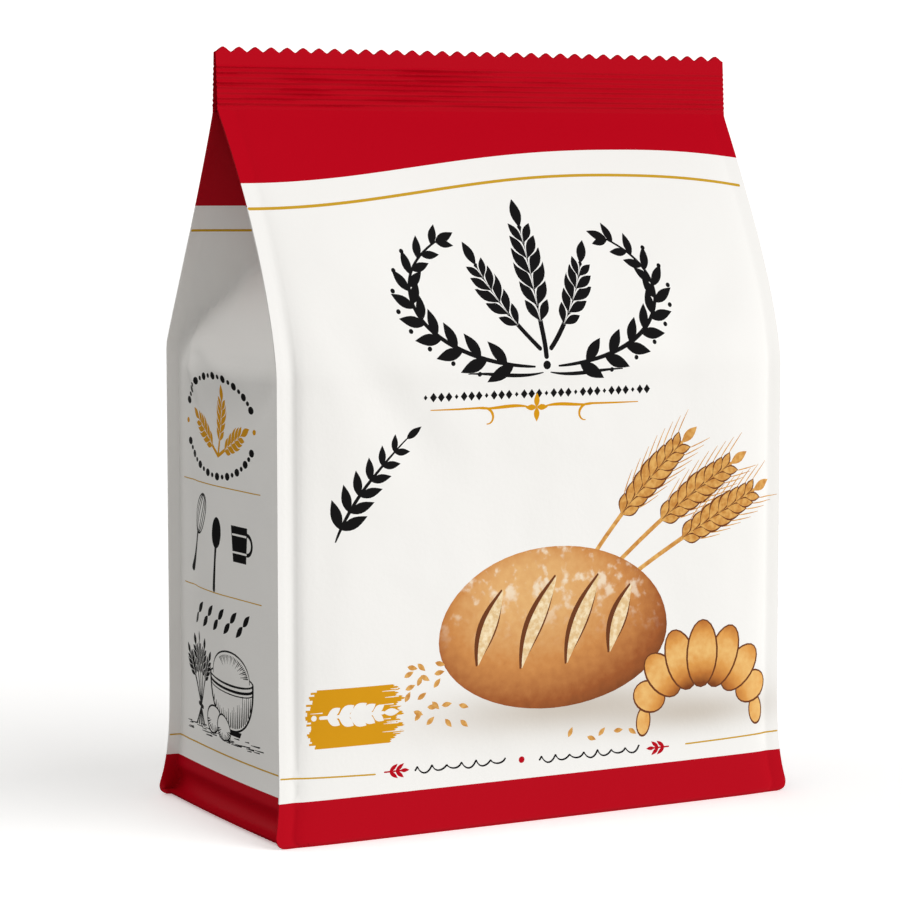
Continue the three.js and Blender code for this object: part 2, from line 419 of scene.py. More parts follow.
def swirl_points(x, z, heading, length, bend_start, bend_end, steps=24):
    """A path whose bend, in degrees per millimetre, changes steadily along it."""
    points = [(x, z)]
    for k in range(steps):
        u = (k + 0.5) / steps
        step = length / steps
        middle = heading + (bend_start + (bend_end - bend_start) * u / 2) * length * u
        dx, dz = polar(step, middle)
        x, z = x + dx, z + dz
        points.append((x, z))
    return points


def swelling(count, thin, thick, fullest=0.5):
    """Widths that swell from thin to thick and back."""
    return [thin + (thick - thin) * swell(k / (count - 1), fullest) for k in range(count)]


def swirl(ink, x, z, heading, length, bend_start, bend_end, thin=0.3, thick=1.0, fullest=0.5, steps=24):
    points = swirl_points(x, z, heading, length, bend_start, bend_end, steps)
    brush(ink, points, swelling(len(points), thin, thick, fullest))
    return points


def mirrored(draw, middle):
    """Draws with `draw`, and once more as a mirror image about n = middle."""
    first = len(shapes)
    draw()
    for ink, outline in shapes[first:]:
        paint(ink, [(2 * middle - x, z) for x, z in outline])


def set_aside(draw):
    """The outlines that `draw` paints, taken off the net again."""
    start = len(shapes)
    draw()
    drawn = shapes[start:]
    del shapes[start:]
    return drawn


def sprout(ink, path, k, side, length, width, spread_angle=42):
    """A leaf that grows from the k-th point of a path, to its left (1) or right (-1)."""
    (x0, z0), (x1, z1) = path[k - 1], path[k]
    along_path = math.degrees(math.atan2(z1 - z0, x1 - x0))
    leaf(ink, x1, z1, length, width, along_path + side * spread_angle)


def wheat_ear(ink, x, z, heading, length, grains, grain, stalk=0.0, bend=0.0, beard=0.0, rim=WHITE_FILM):
    """A wheat ear: pairs of grains along a stem, one at the tip, and a beard if it has one."""
    path = swirl_points(x, z, heading, stalk + length, bend, bend, 2 * grains + 6)
    brush(ink, path, grain * 0.16)
    for k in range(grains):
        place = (stalk + length * k / grains) / (stalk + length) * (len(path) - 1)
        index = int(place)
        px, pz = between(path[index], path[index + 1], place - index)
        direction = heading + bend * (stalk + length * k / grains)
        size = grain * (1.0 - 0.28 * abs(2 * k / max(grains - 1, 1) - 0.9))
        for side in (-1, 1):
            leaf(rim, px, pz, size * 1.06, size * 0.52, direction + side * 31, 0.55)
            leaf(ink, px, pz, size, size * 0.38, direction + side * 31, 0.55)
            if beard:
                dx, dz = polar(size, direction + side * 33)
                start = px + dx, pz + dz, direction + side * 24
                swirl(ink, *start, beard, -side * 1.2, -side * 0.6, 0.12, 0.3, fullest=0.3, steps=8)
    end = heading + bend * (stalk + length)
    leaf(ink, *path[-1], grain * 0.85, grain * 0.36, end, 0.5)


print("Drawing helpers ready")

# %% [markdown]
# ## The red head, the red foot and the gold lines
# The head of the bag is red down to a slow wave across the front; on the sides the edge of the red
# is level and lower. Gold lines follow the wave and cross the sides and the foot.

# %% Fields of colour
FOOT_RED = 10.9
SIDE_RED = 153.5
CREST = 38.0
CREST_HEIGHT = 167.6


def spread(low, high, count):
    """Even steps from low to high, both included."""
    return [low + (high - low) * k / count for k in range(count + 1)]


def head_edge(n):
    """Height of the lower edge of the red on the front: two half cosines that meet at the crest."""
    share = (CREST - n) / 110.0 if n < CREST else (n - CREST) / 90.0
    return CREST_HEIGHT - 4.2 * (1.0 - math.cos(math.pi * share ** 1.15))


def back_edge(n):
    """The same on the back, with n from its edge to its middle."""
    return 167.0 - 7.0 * (1 - n / HALF_WIDTH) ** 1.6


wave = [(n, head_edge(n)) for n in spread(-HALF_WIDTH, HALF_WIDTH, 48)]
paint(RED, wave + [(HALF_WIDTH, FILM_TOP), (-HALF_WIDTH, FILM_TOP)])
back_wave = [(HALF_NET - HALF_WIDTH + n, back_edge(n)) for n in spread(0, HALF_WIDTH, 24)]
for side in (-1, 1):
    paint(RED, [(side * n, z) for n, z in back_wave + [(HALF_NET, FILM_TOP), (BACK_START, FILM_TOP)]])
    low, high = side * HALF_WIDTH, side * BACK_START
    paint(RED, [(low, SIDE_RED), (high, SIDE_RED), (high, FILM_TOP), (low, FILM_TOP)])
paint(RED, [(-HALF_NET, FOOT_RED), (HALF_NET, FOOT_RED), (HALF_NET, 0.0), (-HALF_NET, 0.0)])


# %% Gold lines
HEAD_LINE, SIDE_LINE, FOOT_LINE, THIN_RULE = 0.72, 0.62, 0.40, 0.28


def gold_head(n):
    return head_edge(n) - 6.1 - 1.4 * max(n / HALF_WIDTH, 0.0) ** 1.5


def gold_foot(n):
    return 15.0 + 1.3 * (n / HALF_WIDTH) ** 2 - 0.55 * n / HALF_WIDTH


def ruled(low, high, height, width, count=24):
    """A gold line whose height is a number or a function of n."""
    heights = height if callable(height) else lambda n: height
    brush(LINE_GOLD, [(n, heights(n)) for n in spread(low, high, count)], width)


ruled(-71.6, 70.2, gold_head, HEAD_LINE, 50)
ruled(-71.6, -47.0, gold_foot, FOOT_LINE, 8)
ruled(42.5, 71.6, gold_foot, FOOT_LINE, 8)
for side in (-1, 1):
    ruled(side * (SIDE_START + 0.4), side * (SIDE_END - 0.4), 147.3, SIDE_LINE)
    ruled(side * (SIDE_START + 0.4), side * (SIDE_END - 0.4), 16.2, FOOT_LINE)
    back_line = side * (BACK_START + 0.5), side * (HALF_NET - 0.02)
    ruled(*back_line, lambda n: back_edge(abs(n) - BACK_START) - 6.4, HEAD_LINE)
    ruled(*back_line, 15.6, FOOT_LINE, 20)
print("Fields and lines:", len(shapes), "outlines")

# %% [markdown]
# ## The ornament at the head of the front
# A heading this size would be brush lettering. This bag has a pen ornament of the same weight and
# colour there: three wheat ears in an open wreath. A branch of the wreath is part of an ellipse
# with pairs of leaves along it, and its mirror image makes the other branch.

# %% The heading ornament
WREATH_Z = 132.0


def wreath_branch():
    branch = [(35.0 * math.sin(a), WREATH_Z - 18.0 * math.cos(a)) for a in spread(0.10, 2.36, 40)]
    brush(BLACK, branch, swelling(len(branch), 0.5, 1.1, 0.3))
    for k in range(3, 40, 4):
        length = 8.6 - 0.08 * k
        sprout(BLACK, branch, k, -1, length, length * 0.40, 36)
        sprout(BLACK, branch, k + 1, 1, length * 0.9, length * 0.36, 40)
        if 5 < k < 36:
            x, z = branch[k]
            oval(BLACK, x * 1.13, WREATH_Z + (z - WREATH_Z) * 1.22, 0.62, 0.62, count=10)
    leaf(BLACK, *branch[-1], 6.0, 2.3, 158)
    swirl(BLACK, 1.0, 112.6, -12, 21.0, 2.6, -1.6, 0.25, 1.0, 0.45, 20)
    wheat_ear(BLACK, 1.6, 118.5, 46, 17.0, 5, 7.4, stalk=7.5, bend=0.9)


mirrored(wreath_branch, 0.0)
wheat_ear(BLACK, 0.0, 116.5, 90, 23.0, 6, 8.4, stalk=8.5)
oval(BLACK, 0.0, 114.4, 1.1, 1.1, count=12)
print("Heading ornament drawn, now", len(shapes), "outlines")


# %% The beaded line and the gold flourish
def bead_row(ink, low, high, z, pitch, reach):
    for k, n in enumerate(spread(low, high, round((high - low) / pitch))):
        size = reach if k % 4 else reach * 0.55
        paint(ink, [(n - size, z), (n, z - size * 1.25), (n + size, z), (n, z + size * 1.25)])


def flourish():
    swirl(GOLD, 2.4, 104.2, 12, 14.0, -4.2, 3.4, 0.25, 0.85, 0.4, 20)
    swirl(GOLD, 15.2, 104.4, 178, 7.0, 14.0, 40.0, 0.25, 0.7, 0.4, 14)
    brush(GOLD, [(15.0, 104.4), (22.0, 104.3), (29.5, 104.3)], [0.55, 0.45, 0.25])


def whole_flourish():
    mirrored(flourish, 0.0)
    for side in (-1, 1):
        leaf(GOLD, 0.0, 104.0, 3.2, 1.5, 90 + side * 90)
        leaf(GOLD, 0.0, 104.0, 3.6, 1.6, side * 90)


bead_row(BLACK, -33.5, 29.5, 107.4, 2.1, 0.95)
for ink, outline in set_aside(whole_flourish):
    paint(ink, [(n - 2.6, z) for n, z in outline])
print("Bead row and flourish drawn, now", len(shapes), "outlines")

# %% [markdown]
# ## The printed picture
# The lower right of the front carries a picture in browns and creams: here a scored country
# loaf, a croissant and wheat. The order of painting does the work of overlaps: ears first, then the
# loaf in front of their stalks, then its slashes, and the croissant last.

# %% Wheat behind the loaf
for root_x, heading, stalk, bend in ((8, 44, 34, -0.25), (12, 33, 33, -0.15), (4, 57, 30, -0.3)):
    wheat_ear(STRAW, root_x, 52.0, heading, 25.0, 8, 7.2, stalk, bend, beard=6.5, rim=BROWN)

# %% The loaf
cx, cz, loaf_x, loaf_z = LOAF
loaf_edge = []
for a in full_turn(56):
    flatness = 1.0 if math.sin(a) > 0 else 0.86
    loaf_edge.append((cx + loaf_x * math.cos(a), cz + loaf_z * math.sin(a) * flatness))
paint(CRUST, loaf_edge)
for offset, reach in ((-19, 11.5), (-6.5, 14.5), (6.5, 14.0), (19, 10.5)):
    path = swirl_points(cx + offset - 3.5, cz - reach * 0.55, 78, reach * 1.7, -1.6, 0.4, 16)
    brush(BROWN, path, swelling(len(path), 0.5, 5.4))
    path = [(x + 0.5, z) for x, z in path]
    brush(CRUMB, path, swelling(len(path), 0.2, 3.6))
print("Loaf drawn, now", len(shapes), "outlines")

# %% The croissant
mid_x, mid_z, arc = CROISSANT
for place in (-4, 4, -3, 3, -2, 2, -1, 1, 0):
    angle = 90 - place * 21.5
    fat = 8.6 - 0.42 * place * place
    dx, dz = polar(arc, angle)
    oval(BROWN, mid_x + dx, mid_z + dz, fat + 0.35, 4.9 - 0.22 * abs(place), angle, 22)
    oval(CROISSANT_INK, mid_x + dx, mid_z + dz, fat, 4.35 - 0.22 * abs(place), angle, 22)
print("Croissant drawn, now", len(shapes), "outlines")

# %% Loose grains
def scatter(low, high, bottom, top, pitch, jitter, length):
    """Grains on a loose grid, each one moved and turned a little at random."""
    for n in np.arange(low, high, pitch):
        for z in np.arange(bottom, top, pitch * 0.8):
            place = n + random.uniform(-jitter, jitter), z + random.uniform(-jitter, jitter)
            leaf(STRAW, *place, length, length * 0.46, random.uniform(-50, 70), count=5)


random.seed(11)
scatter(-39.0, -29.0, 33.0, 44.0, 3.9, 0.7, 2.9)
scatter(-37.0, -21.0, 27.5, 33.0, 4.2, 0.7, 2.9)
scatter(8.0, 26.0, 20.4, 23.0, 4.4, 0.8, 2.8)

# %% [markdown]
# ## The small ornaments of the front
# To the left of the picture stands a slanting sprig in black. Below it is a gold patch with
# ragged ends, as a dry brush leaves it: a stack of thin bars whose ends are drawn at random from
# a fixed seed. Along the foot run two red twigs, a red dot and fine wavy pen lines.

# %% Sprig and brush patch
stem = swirl(BLACK, -57.5, 73.5, 68, 31.0, -1.4, -0.4, 0.35, 0.9, 0.3, 20)
for k in range(2, 19, 3):
    x, z = stem[k]
    direction = 68 - 1.5 * k
    for side in (-1, 1):
        leaf(BLACK, x, z, 8.2 - 0.22 * k, 3.0 - 0.07 * k, direction + side * 42)
leaf(BLACK, *stem[-1], 5.0, 1.9, 36)

random.seed(5)
BARS = 30
PATCH_HEIGHT = 14.4
for k in range(BARS):
    z = 23.4 + PATCH_HEIGHT * k / BARS
    outer = abs(2 * k / (BARS - 1) - 1) ** 3
    left = -65.4 + random.uniform(0.0, 1.5) + 1.5 * outer
    right = -38.8 - random.uniform(0.0, 2.4) - 2.5 * outer * random.random()
    high = z + PATCH_HEIGHT / BARS + 0.05
    paint(GOLD, [(left, z), (right - 0.6, z), (right, (z + high) / 2), (right - 0.6, high), (left, high)])
for _ in range(16):
    n = random.choice((random.uniform(-64.8, -63.0), random.uniform(-46.0, -42.0)))
    z = random.uniform(24.4, 36.8)
    brush(WHITE_FILM, [(n, z), (n + random.uniform(1.5, 4.5), z)], [0.10, 0.26])
wheat_ear(WHITE_FILM, -61.5, 31.0, 0, 15.0, 5, 5.2, stalk=1.5)
oval(WHITE_FILM, -63.2, 31.0, 0.7, 0.7, count=12)
print("Sprig and patch drawn, now", len(shapes), "outlines")


# %% The foot of the front
def twig(n, z, facing):
    heading = 0 if facing > 0 else 180
    brush(RED, [(n - facing * 2.4, z), (n + facing * 2.2, z)], 0.4)
    for back, side in ((0.0, 1), (0.0, -1), (1.7, 1), (1.7, -1)):
        leaf(RED, n - facing * (back - 0.6), z, 2.9, 1.05, heading + side * 38 * facing)
    leaf(RED, n + facing * 1.8, z, 2.6, 1.0, heading)


def pen_wave(low, high, height, rise):
    points = []
    widths = []
    for n in spread(low, high, int((high - low) * 3.4)):
        phase = 2 * math.pi * (n - low) / 4.1
        share = 0.75 + 0.25 * math.sin(phase * 0.31)
        points.append((n + 0.5 * math.cos(phase), height + rise * share * math.sin(phase)))
        widths.append(0.30 + 0.22 * abs(math.cos(phase / 2)))
    brush(BLACK, points, widths)


twig(-42.0, 16.2, 1)
twig(34.8, 15.0, -1)
oval(RED, -6.2, 15.7, 0.85, 0.85, count=14)
pen_wave(-36.5, -11.0, 15.9, 0.9)
pen_wave(-1.5, 28.5, 15.2, 0.9)
print("Foot drawn, now", len(shapes), "outlines")

# %% [markdown]
# ## The side panels
# Each side carries, from the top, a ring of beads round three gold ears, two gold rules with small
# kitchen drawings between them, and a row of darker drawings near the foot. The drawings sit
# a little off the middle, towards the back, as on the real bag. Both sides carry the same print.

# %% Drawings for one side
SIDE_SHIFT = 4.0
RING_Z = 99.0


def side_rules():
    for z in (84.0, 57.0):
        ruled(-25.0, 24.0, z, THIN_RULE, 12)


def bead_ring():
    for k, a in enumerate(full_turn(44)):
        if abs(math.sin(a)) > 0.30:
            size = 1.0 if k % 2 else 0.62
            oval(BLACK, 21.5 * math.cos(a), RING_Z + 12.6 * math.sin(a), size * 1.35, size, count=10)
    for side in (-1, 1):
        oval(GOLD, side * 21.0, RING_Z, 0.9, 0.7, count=12)


def three_ears():
    for heading, length in ((78, 12.5), (24, 13.5), (146, 13.5)):
        wheat_ear(GOLD, 0.5, 91.6, heading, length * 0.8, 5, 5.6, stalk=length * 0.30)


def whisk(x, z, angle):
    for reach in (0.9, 2.1, 3.2):
        wire = [(8.0 + 5.6 * (1 - math.cos(a)), reach * math.sin(a)) for a in spread(0, 2 * math.pi, 22)]
        brush(BLACK, turned(wire, x, z, angle), 0.42)
    brush(BLACK, turned([(-3.0, 0), (3.0, 0), (8.2, 0)], x, z, angle), [1.9, 1.5, 1.1])


def spoon(x, z, angle):
    oval(BLACK, *turned([(9.5, 0)], x, z, angle)[0], 4.0, 2.6, angle, 20)
    brush(BLACK, turned([(-5.0, 0), (2.0, 0), (7.0, 0)], x, z, angle), [1.5, 1.1, 1.2])


def mug(x, z):
    paint(BLACK, [(x - 4.4, z + 4.6), (x + 4.4, z + 4.6), (x + 3.5, z - 4.4), (x - 3.5, z - 4.4)])
    handle = [(x + 4.0 + 2.6 * math.sin(a), z + 0.4 + 2.5 * math.cos(a)) for a in spread(0, math.pi, 12)]
    brush(BLACK, handle, 1.0)
    for level in (2.4, -2.0):
        brush(WHITE_FILM, [(x - 3.6, z + level), (x + 3.6, z + level)], 0.5)


# %% Engraved drawings for one side
def arch(x, z, reach, height, power=1.0):
    """Points from the left end of an arch to its right end. A negative height hangs it down."""
    turns = spread(0, math.pi, 26)
    return [(x - reach * math.cos(a), z + height * abs(math.sin(a)) ** power) for a in turns]


def bowl(x, z, reach, deep):
    paint(BLACK, arch(x, z, reach, -deep, 0.8))
    paint(WHITE_FILM, arch(x, z - 0.4, reach * 0.93, 0.9 - deep, 0.8))
    for k in range(-10, 11):
        px = x + k * reach / 12.0
        low = z - (deep - 1.2) * max(1 - ((px - x) / reach / 0.95) ** 2, 0.05) ** 0.4
        high = low + 1.4 + 0.30 * (k + 10) * (1.0 + 0.25 * math.sin(2.3 * k))
        brush(BLACK, [(px, low), (px + 0.4, min(high, z - 3.4))], [0.62, 0.16])
    for level, thick in ((2.0, 0.7), (3.0, 0.3)):
        band = arch(x, z - level + 0.6, reach * 0.95, -reach * 0.13)
        brush(BLACK, band, thick)
    rim = [(x + reach * math.cos(a), z + reach * 0.16 * math.sin(a)) for a in full_turn(32)]
    paint(BLACK, rim)
    paint(WHITE_FILM, [(x + (px - x) * 0.94, z + (pz - z) * 0.72) for px, pz in rim])
    heap = arch(x, z + 0.1, reach * 0.82, reach * 0.5, 0.85)
    brush(BLACK, heap, 0.55)
    paint(WHITE_FILM, [(px, pz - 0.2) for px, pz in heap])
    for k in range(26):
        a = math.radians(12 + 4.6 * k)
        stroke = []
        for share in (0.78, 0.78 - 0.20 - 0.12 * math.sin(2.1 * k)):
            stroke.append((x + reach * share * math.cos(a), z + reach * 0.56 * share * math.sin(a)))
        brush(BLACK, stroke, [0.36, 0.1])
    bottom = [(-0.42, 0.5), (0.42, 0.5), (0.34, -0.9), (-0.34, -0.9)]
    paint(BLACK, [(x + reach * px, z - deep + pz) for px, pz in bottom])


def egg(x, z, size, angle):
    shell = []
    for a in full_turn(30):
        shell.append((size * 1.28 * math.cos(a), size * math.sin(a) * (1 - 0.16 * math.cos(a))))
    paint(BLACK, turned(shell, x, z, angle))
    paint(WHITE_FILM, turned([(px * 0.9, pz * 0.87) for px, pz in shell], x, z, angle))
    for k in range(13):
        a = math.radians(190 + 13 * k)
        start = (size * 1.14 * math.cos(a), size * 0.86 * math.sin(a))
        depth = 0.62 - 0.14 * math.sin(1.9 * k)
        brush(BLACK, turned([start, (start[0] * depth, start[1] * depth)], x, z, 0), [0.45, 0.12])


def side_sheaf(x, z):
    for heading, length in ((60, 6.0), (75, 7.2), (90, 7.8), (105, 7.2), (120, 6.0)):
        wheat_ear(BLACK, x, z, heading, length, 4, 4.0, stalk=8.2)
        brush(BLACK, [(x, z), (x - 5.5 * math.cos(math.radians(heading)), z - 4.8)], [0.5, 0.75])
    brush(BLACK, [(x - 1.5, z + 0.5), (x + 1.5, z - 0.2)], 1.1)


def ground_hatching():
    random.seed(3)
    for _ in range(46):
        n = random.uniform(-24, 20)
        z = 20.6 + random.uniform(-1.3, 1.0)
        brush(BLACK, [(n, z), (n + random.uniform(2, 4.5), z + 0.15)], [0.16, 0.34])


def side_print():
    side_rules()
    bead_ring()
    three_ears()
    whisk(-17.5, 64.0, 62)
    spoon(-1.5, 62.8, 84)
    mug(12.5, 70.5)
    for n in (-14.0, -7.0, 0.0, 7.0, 14.0):
        leaf(BLACK, n, 50.4, 5.0, 1.9, 40)
        leaf(BLACK, n, 50.4, 5.0, 1.9, 220)
    ground_hatching()
    side_sheaf(-14.5, 26.2)
    bowl(6.5, 36.5, 13.0, 13.6)
    egg(-5.0, 24.4, 3.7, 20)
    egg(1.4, 23.0, 3.4, -15)


# %% Place the print on both sides
drawn = set_aside(side_print)
for side in (-1, 1):
    for ink, outline in drawn:
        paint(ink, [(n + side * (SIDE_MIDDLE + SIDE_SHIFT), z) for n, z in outline])
print("Sides drawn, now", len(shapes), "outlines")

# %% [markdown]
# ## The back panel
# The back isn't seen in the photo. It gets what a flour bag has there, without words: a ring of
# wheat, a ruled frame and a row of beads. The net is cut open in the middle of the back, so the
# back print is drawn round 0 and each outline is cut at the middle and moved to its side.

# %% Back print
def keep_side(outline, side):
    """The part of an outline with side * n above 0."""
    kept = []
    for (n0, z0), (n1, z1) in edges_of(outline):
        if side * n0 >= 0:
            kept.append((n0, z0))
        if (n0 < 0 < n1) or (n1 < 0 < n0):
            share = n0 / (n0 - n1)
            kept.append((0.0, z0 + share * (z1 - z0)))
    return kept


def back_print():
    for k in range(12):
        angle = 30 * k
        x, z = polar(1.0, angle)
        wheat_ear(GOLD, 27 * x, 122 + 22 * z, angle + 75, 9.0, 4, 4.4, stalk=1.0)
    wheat_ear(BLACK, 0.0, 106.0, 90, 22.0, 6, 8.0, stalk=8.0)
    bead_row(BLACK, -33.6, 33.6, 92.0, 2.1, 0.95)
    for start, end in edges_of([(-58, 28), (58, 28), (58, 84), (-58, 84)]):
        brush(BLACK, [start, end], 0.5)
    for z in range(38, 75, 9):
        brush(GOLD, [(-54, z), (54, z)], 0.4)
    brush(BLACK, [(20, 30), (20, 82)], 0.4)


for ink, outline in set_aside(back_print):
    for side in (-1, 1):
        part = keep_side(outline, side)
        if len(part) > 2:
            paint(ink, [(n - side * HALF_NET, z) for n, z in part])
print("Print finished:", len(shapes), "outlines")

# %% [markdown]
# ## Cutting the net into triangles
# The net needs two kinds of points: an even grid, so that it can bend, and the printed outlines,
# so that each ink has a clean edge. A constrained Delaunay triangulation joins both. The middle of
# each triangle is then tested against the outlines; the last one painted over it gives its ink.
# Grid points close to an outline are left out, because they would make slivers.

# %% Grid of bending points
def steps_between(stops, pitch):
    """Values from stop to stop in equal steps of about the pitch."""
    values = [stops[0]]
    for low, high in zip(stops, stops[1:]):
        count = max(1, round((high - low) / pitch))
        values += [low + (high - low) * (k + 1) / count for k in range(count)]
    return values


BEND_PITCH = 2.0
strip_start = HALF_WIDTH - STRIP
panel_columns = steps_between([0.0, 60.0, strip_start - 2.0], BEND_PITCH)
panel_columns += [strip_start - k for k in (1.5, 1.0, 0.5, 0.0)]
strip_columns = [strip_start + 1.1, strip_start + 2.2, HALF_WIDTH]
side_half = [0.6, 1.6] + steps_between([STRIP, 6.0], 0.7)
side_half += steps_between([8.0, HALF_SIDE_FILM], BEND_PITCH)
LAP_START, LAP_END = 6.0, 5.7
columns = panel_columns + strip_columns + [SIDE_START, SIDE_END, BACK_START]
columns += [SIDE_START + s for s in side_half] + [SIDE_END - s for s in side_half]
columns += [HALF_NET - n for n in panel_columns + strip_columns[:-1] + [LAP_START, LAP_END]]
columns = sorted({side * round(n, 4) for n in columns for side in (-1, 1)})
LIP = 1.5
LIP_STEP = 0.02
rows = [0.0, 0.15, 0.4, 0.8, 1.2, LIP, LIP + LIP_STEP, 1.9, 2.4] + steps_between([3.0, 9.0], 0.75)
rows += steps_between([11.0, 113.0], BEND_PITCH) + steps_between([115.0, FILM_TOP], 1.8)
print(len(columns), "columns and", len(rows), "rows")

# %% Leave out grid points beside printed edges
CELL = 0.5
fixed_lines = (HALF_WIDTH, SIDE_START, SIDE_END, BACK_START, HALF_NET)
near_print = set()
for ink, outline in shapes:
    for start, end in edges_of(outline):
        count = int(math.dist(start, end) / (CELL / 2)) + 1
        for k in range(count):
            n, z = between(start, end, k, count)
            on_line = any(abs(abs(n) - line) < 0.05 for line in fixed_lines)
            if not on_line and 0.2 < z < FILM_TOP - 0.2:
                near_print.add((round(n / CELL), round(z / CELL)))
points = []
for n in columns:
    for z in rows:
        if (round(n / CELL), round(z / CELL)) not in near_print:
            points.append(Vector((round(n, 5), round(z, 5))))
print(len(points), "grid points kept of", len(columns) * len(rows))

# %% Triangulate the net
edges = []


def add_points(pairs):
    """Adds points, rounded so that points meant to lie on one line do so exactly."""
    points.extend(Vector((round(n, 5), round(z, 5))) for n, z in pairs)


def fixed_edge(start, end):
    edges.append((len(points), len(points) + 1))
    add_points((start, end))


def with_stops(outline):
    """The outline with points added along its long edges, so that they bend with the film."""
    fine = []
    for start, end in edges_of(outline):
        count = max(1, round(math.dist(start, end) / BEND_PITCH))
        fine += [between(start, end, k, count) for k in range(count)]
    return fine


sharp = [strip_start, HALF_WIDTH, SIDE_START, SIDE_END, BACK_START, HALF_NET - strip_start, HALF_NET]
for line in sharp:
    for side in (-1, 1):
        fixed_edge((side * line, 0.0), (side * line, FILM_TOP))
for height in (0.0, LIP, LIP + LIP_STEP, FILM_TOP):
    fixed_edge((-HALF_NET, height), (HALF_NET, height))
for ink, outline in shapes:
    fine = with_stops(outline)
    first, count = len(points), len(fine)
    edges += [(first + k, first + (k + 1) % count) for k in range(count)]
    add_points(fine)
result = delaunay_2d_cdt(points, edges, [], 0, 1e-4, False)
net_points, net_faces = result[0], result[2]
print("The net has", len(net_points), "points and", len(net_faces), "triangles")


# %% Find the ink of each triangle
def inside(outline, n, z):
    """Whether the points n, z lie inside an outline, by how often it winds round them."""
    winding = np.zeros(len(n), int)
    for (n0, z0), (n1, z1) in edges_of(outline):
        left = (n1 - n0) * (z - z0) - (n - n0) * (z1 - z0)
        winding += (z0 <= z) & (z1 > z) & (left > 0)
        winding -= (z0 > z) & (z1 <= z) & (left < 0)
    return winding != 0


corners = np.array([tuple(p) for p in net_points])[np.array(net_faces)]
centres = corners.mean(axis=1)
order = np.argsort(centres[:, 0])
centre_n, centre_z = centres[order, 0], centres[order, 1]
inks = np.full(len(net_faces), WHITE_FILM)
for ink, outline in shapes:
    reach_n = [n for n, z in outline]
    first, last = np.searchsorted(centre_n, (min(reach_n), max(reach_n)))
    hit = inside(outline, centre_n[first:last], centre_z[first:last])
    inks[order[first:last][hit]] = ink
print("Triangles per ink:", np.bincount(inks).tolist())

# %% The flat net as a mesh
def new_object(name, data):
    """A new object in the scene that shows this data."""
    thing = bpy.data.objects.new(name, data)
    bpy.context.scene.collection.objects.link(thing)
    return thing


net = bpy.data.meshes.new("film_net")
net.from_pydata([(p.x, 0.0, p.y) for p in net_points], [], net_faces)
ink_number = net.attributes.new("ink", "INT", "FACE")
ink_number.data.foreach_set("value", inks)
net.materials.append(white_film)
film = new_object("flour_bag_film", net)

# %% [markdown]
# ## Folding the film
# A filled bag follows a few rules. Below the shoulder the panels stand upright, bulge a little, and
# the foot spreads. Above it, the front and the back lean together, and the side panel is too wide
# for the gap, so it folds inwards: film can't stretch, and what the gap loses goes in as a tuck.
# That is a formula in `n` and `z`, so Geometry Nodes can fold the flat net point by point. Cloth
# simulation could do it too, but a formula meets the sizes exactly.

# %% A tree with named sizes, and what it makes
def new_tree(name, sizes):
    """A Geometry Nodes tree with a mesh and these sizes as its inputs, and a wire for each."""
    tree = bpy.data.node_groups.new(name, "GeometryNodeTree")
    for way in ("INPUT", "OUTPUT"):
        tree.interface.new_socket("Geometry", in_out=way, socket_type="NodeSocketGeometry")
    for size_name, value in sizes.items():
        socket = tree.interface.new_socket(size_name, in_out="INPUT", socket_type="NodeSocketFloat")
        socket.default_value = value
    nodes = Nodes(tree)
    given = nodes.add("NodeGroupInput")
    return nodes, given, {size_name: given.also(size_name) for size_name in sizes}


def shaped_by(piece, tree, sizes):
    """Gives a piece the plain mesh that the tree makes of it with these sizes."""
    modifier = piece.modifiers.new(tree.name, "NODES")
    modifier.node_group = tree
    for socket in tree.interface.items_tree:
        if socket.name in sizes:
            modifier[socket.identifier] = sizes[socket.name]
    depsgraph = bpy.context.evaluated_depsgraph_get()
    made = bpy.data.meshes.new_from_object(piece.evaluated_get(depsgraph))
    piece.modifiers.clear()
    piece.data = made
    made.name = piece.name
    return made


# %% The folding tree and its inputs
fold_sizes = {
    "Half Width": HALF_WIDTH,
    "Half Depth": HALF_DEPTH,
    "Strip": STRIP,
    "Bend Start": 113.0,
    "Bend Height": 64.0,
    "Back Bend Start": 118.0,
    "Back Bend Height": 59.0,
    "Tuck Start": 122.0,
    "Tuck Height": 52.0,
    "Front Bulge": 2.8,
    "Side Bulge": 2.2,
    "Foot Height": 30.0,
    "Wrinkles": 1.0,
}
g, flat_net, size = new_tree("fold_film", fold_sizes)
n, _, z = g.split(g.add("GeometryNodeInputPosition"))

# %% How the bag leans, spreads and fills with height
CORNER_RADIUS, BASE_RADIUS = 3.6, 1.2
FOOT_WIDER, FOOT_FORWARDS, FOOT_BACKWARDS = 2.6, 2.4, 4.0
HEAD_WIDER, HEAD_FRONT, HEAD_BACK = 1.5, -3.6, -0.8
LEAN_POWER = 1.45
rise = z.climb(size["Bend Start"], size["Bend Height"])
foot_share = (1.0 - z / size["Foot Height"]).limited()
lean_front = rise ** LEAN_POWER
fill = (0.3 + 0.7 * z.ramp(0.0, 45.0)) * (1.0 - lean_front)
corner = (1.0 - z / CORNER_RADIUS).limited()
half_width = size["Half Width"] + HEAD_WIDER * rise ** 3.0 + FOOT_WIDER * foot_share ** 4.0
half_width = half_width - CORNER_RADIUS * (1.0 - (1.0 - corner * corner).root())
under = (BASE_RADIUS - z).limited()
rounding = BASE_RADIUS - (BASE_RADIUS ** 2 - under * under).root()
lean_back = z.climb(size["Back Bend Start"], size["Back Bend Height"]) ** 1.05
front = lean_front.blend(-size["Half Depth"], HEAD_FRONT) - FOOT_FORWARDS * foot_share ** 2.0 + rounding
back = lean_back.blend(size["Half Depth"], HEAD_BACK) + FOOT_BACKWARDS * foot_share ** 2.0 - rounding
half_depth = 0.5 * (back - front)
middle = 0.5 * (back + front)

